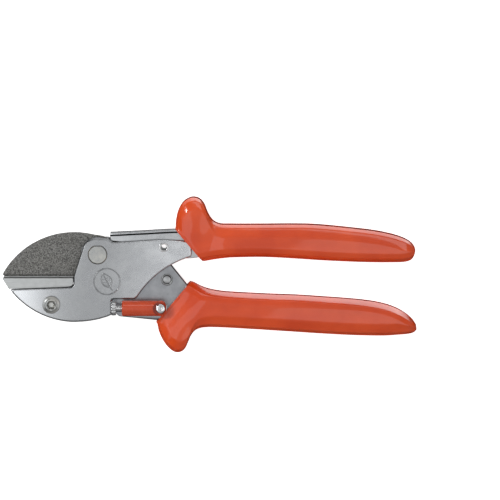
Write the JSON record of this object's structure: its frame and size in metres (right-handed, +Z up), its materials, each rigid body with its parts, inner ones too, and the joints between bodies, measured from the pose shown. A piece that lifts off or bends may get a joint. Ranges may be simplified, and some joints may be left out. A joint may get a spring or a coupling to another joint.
{
  "type": "pruning shears",
  "caption": "One-hand anvil pruning shears: coated straight blade closing on a flat anvil, plated cheek plates, dipped handle grips and a swinging thumb latch.",
  "frame": {"origin": "bottom centre of the closed shears, on the surface that they lie on", "axes": "+X towards the handle ends, +Y from the lower handle to the upper one, +Z up out of the front cheek"},
  "size_m": [0.2096, 0.0788, 0.0214],
  "materials": {
    "satin_nickel": "satin nickel plating over stamped sheet",
    "polished_steel": "polished",
    "zinc_plate": "bright zinc plating",
    "blade_coating": "matt non-stick coating with fine speckle",
    "anvil_alloy": "fine satin",
    "bush_bronze": "turned",
    "latch_paint": "glossy orange",
    "grip_dip": "glossy orange dip coating"
  },
  "bodies": {
    "anvil_lever": {"front_cheek": "satin_nickel", "rear_cheek": "satin_nickel", "anvil": "anvil_alloy", "anvil_screw": "zinc_plate", "anvil_nut": "zinc_plate", "pivot_bolt": "zinc_plate", "pivot_nut": "zinc_plate", "cheek_rivet": "polished_steel", "upper_core": "satin_nickel", "upper_grip": "grip_dip", "spring": "polished_steel"},
    "blade_lever": {"blade": "blade_coating", "lower_core": "satin_nickel", "pivot_bush": "bush_bronze", "blade_pin": "zinc_plate", "lower_grip": "grip_dip", "latch_screw": "polished_steel", "latch_spacer": "zinc_plate", "latch_nut": "zinc_plate"},
    "latch": {"latch_barrel": "latch_paint", "latch_bolt": "zinc_plate"}
  },
  "joints": [
    {"name": "lever_open", "type": "hinge", "parent": "anvil_lever", "child": "blade_lever", "pos_m": [-0.0567, 0.0106, 0.009], "axis": [0, 0, -1], "range_deg": [0, 34], "deforming": ["spring"]},
    {"name": "latch_swing", "type": "hinge", "parent": "blade_lever", "child": "latch", "pos_m": [-0.0249, -0.0163, 0.0175], "axis": [0, 0, 1], "range_deg": [0, 50]}
  ]
}
